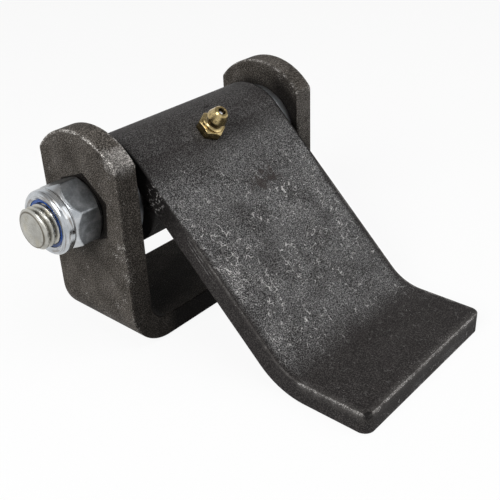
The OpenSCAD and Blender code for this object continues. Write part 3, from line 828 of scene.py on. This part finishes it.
boltMake = {
    "radius": 6.35, "root": 5.36, "pitch": 1.954, "stepsPerPitch": 18, "threaded": 24.0,  # mm and degrees
    "pointRadius": 5.4, "pointSlope": 1.6, "headHeight": 7.9, "faceHeight": 0.5, "faceRadius": 9.3,
    "flat": 9.525, "corner": 0.7, "turn": 4, "steps": 12, "edge": 0.2, "topSlope": 30,
    "rootFlat": 0.1, "flank": 0.66,  # shares of half a pitch
}


def makeBolt():  # hexagon head, plain shank and a real thread on the tail, along X
    part = boltMake
    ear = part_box("bracket")[1].x / mm
    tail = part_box("pivot_bolt")[0].x / mm
    outline = hexOutline(part["flat"], part["corner"], part["turn"], part["steps"])
    angles = [a for a, r in outline]

    def threadRadius(x, angle):
        turn = ((x - tail) / part["pitch"] - angle / (2 * math.pi)) % 1
        climb = min(max((abs(2 * turn - 1) - part["rootFlat"]) / part["flank"], 0), 1)
        fade = min(max((tail + part["threaded"] - x) / part["pitch"], 0), 1)
        low = part["radius"] - (part["radius"] - part["root"]) * fade
        cut = part["pointRadius"] + (x - tail) * part["pointSlope"]
        return min(low + (part["radius"] - low) * climb, cut)

    steps = round(part["threaded"] / part["pitch"] * part["stepsPerPitch"])
    rings = [[(tail + part["threaded"] * i / steps, threadRadius(tail + part["threaded"] * i / steps, a))
              for a in angles] for i in range(steps + 1)]
    top = ear + part["headHeight"]
    base = ear + part["faceHeight"]
    slope = math.tan(math.radians(part["topSlope"]))
    edge, face = part["edge"], part["faceRadius"]
    rings += [[spot] * len(outline) for spot in ((ear, part["radius"]), (ear, face), (base, face))]
    rings.append([(base, r - edge) for a, r in outline])
    rings.append([(base + edge, r) for a, r in outline])
    rings.append([(top - (r - face) * slope - edge, r) for a, r in outline])
    rings.append([(top - (r - edge - face) * slope, r - edge) for a, r in outline])
    rings.append([(top, face)] * len(outline))

    return skinRings("pivot_bolt_threaded", rings, angles, onPivot(0, 1), False)


boltLook = finishOf("bolt_zinc", platedLook(boltZinc, boltMarks))
putIn(makeBolt(), boltLook, "frame_bracket", "pivot_bolt")


# studio: white floor, pale world, soft lamps
studio = {
    "floorSize": 6.0, "floorDrop": 0.0004, "floorColour": (0.95, 0.95, 0.95), "floorGlow": 0.9,
    "fill": 0.17, "bounce": (0.35, 0.35, 0.35),
    "lamps": (  # where, size, watts
        ("key", (-0.66, -0.14, 0.50), 0.5, 5.2),
        ("front", (0.40, -0.60, 0.50), 0.55, 1.25),
        ("top", (0.0, -0.3, 0.85), 0.6, 1.9),
    ),
    "aim": (0.0, -0.03, 0.03), "ceiling": (0.35, 0.75), "ceilingDark": 0.6,
}


def seenDirectly(sheet):  # rays that show the background itself
    path = sheet.add("ShaderNodeLightPath", out="Is Camera Ray")
    ways = path.out.node.outputs
    return path.most(Value(sheet, ways["Is Glossy Ray"])).most(Value(sheet, ways["Is Transmission Ray"]))


def makeStudio():
    shape = bmesh.new()
    bmesh.ops.create_grid(shape, x_segments=1, y_segments=1, size=studio["floorSize"] / 2)
    mesh = bpy.data.meshes.new("floor")
    shape.to_mesh(mesh)
    shape.free()
    floor = bpy.data.objects.new("floor", mesh)
    floor.location.z = -studio["floorDrop"]
    bpy.context.scene.collection.objects.link(floor)
    look = bpy.data.materials.new("floor_white")
    look.use_nodes = True
    sheet = Sheet(look.node_tree)
    matt = sheet.add("ShaderNodeBsdfDiffuse", None, {"Color": (*studio["floorColour"], 1)})
    glow = sheet.add("ShaderNodeEmission", None, {"Color": (1, 1, 1, 1), "Strength": 1.0})
    shown = sheet.add("ShaderNodeMixShader", None, {0: studio["floorGlow"], 1: matt, 2: glow})
    bounce = sheet.add("ShaderNodeBsdfDiffuse", None, {"Color": (*studio["bounce"], 1)})
    both = sheet.add("ShaderNodeMixShader", None, {0: seenDirectly(sheet), 1: bounce, 2: shown})
    sheet.add("ShaderNodeOutputMaterial", None, {"Surface": both})
    floor.data.materials.append(look)

    world = bpy.data.worlds.new("studio")
    bpy.context.scene.world = world
    world.use_nodes = True
    sheet = Sheet(world.node_tree)
    fill = sheet.add("ShaderNodeBackground", None, {"Color": (1, 1, 1, 1), "Strength": studio["fill"]})
    height = sheet.split(sheet.add("ShaderNodeTexCoord", out="Generated"))[2]
    overhead = height.rise(*studio["ceiling"]) * studio["ceilingDark"]  # dim ceiling above the white walls
    white = sheet.add("ShaderNodeBackground", None, {"Color": (1, 1, 1, 1), "Strength": 1 - overhead})
    both = sheet.add("ShaderNodeMixShader", None, {0: seenDirectly(sheet), 1: fill, 2: white})
    sheet.add("ShaderNodeOutputWorld", None, {"Surface": both})

    for name, where, size, watts in studio["lamps"]:
        lamp = bpy.data.lights.new(name, "AREA")
        lamp.shape, lamp.size, lamp.energy = "DISK", size, watts
        holder = bpy.data.objects.new(name, lamp)
        holder.location = where
        holder.rotation_euler = (Vector(studio["aim"]) - Vector(where)).to_track_quat("-Z", "Y").to_euler()
        holder.visible_camera = False
        bpy.context.scene.collection.objects.link(holder)


makeStudio()
print("studio lit")


cameraAt = {  # degrees, metres, mm of lens and sensor
    "azimuth": -48.05, "elevation": 29.74, "roll": -2.57, "distance": 0.28948,
    "target": (0.01610, -0.01111, 0.00736), "lens": 57.97, "sensor": 36, "nearest": 0.01,
}


def makeCamera():
    a, e, r = (math.radians(cameraAt[k]) for k in ("azimuth", "elevation", "roll"))
    back = Vector((math.sin(a) * math.cos(e), -math.cos(a) * math.cos(e), math.sin(e)))
    level = Vector((math.cos(a), math.sin(a), 0))
    upright = back.cross(level)
    right = level * math.cos(r) + upright * math.sin(r)
    up = upright * math.cos(r) - level * math.sin(r)
    data = bpy.data.cameras.new("camera")
    data.lens, data.sensor_width, data.clip_start = (cameraAt[k] for k in ("lens", "sensor", "nearest"))
    camera = bpy.data.objects.new("camera", data)
    turn = Matrix((right, up, back)).transposed().to_4x4()
    camera.matrix_world = Matrix.Translation(Vector(cameraAt["target"]) + back * cameraAt["distance"]) @ turn
    bpy.context.scene.collection.objects.link(camera)
    bpy.context.scene.camera = camera


makeCamera()
bpy.context.scene.view_settings.view_transform = "Standard"
print("camera set")
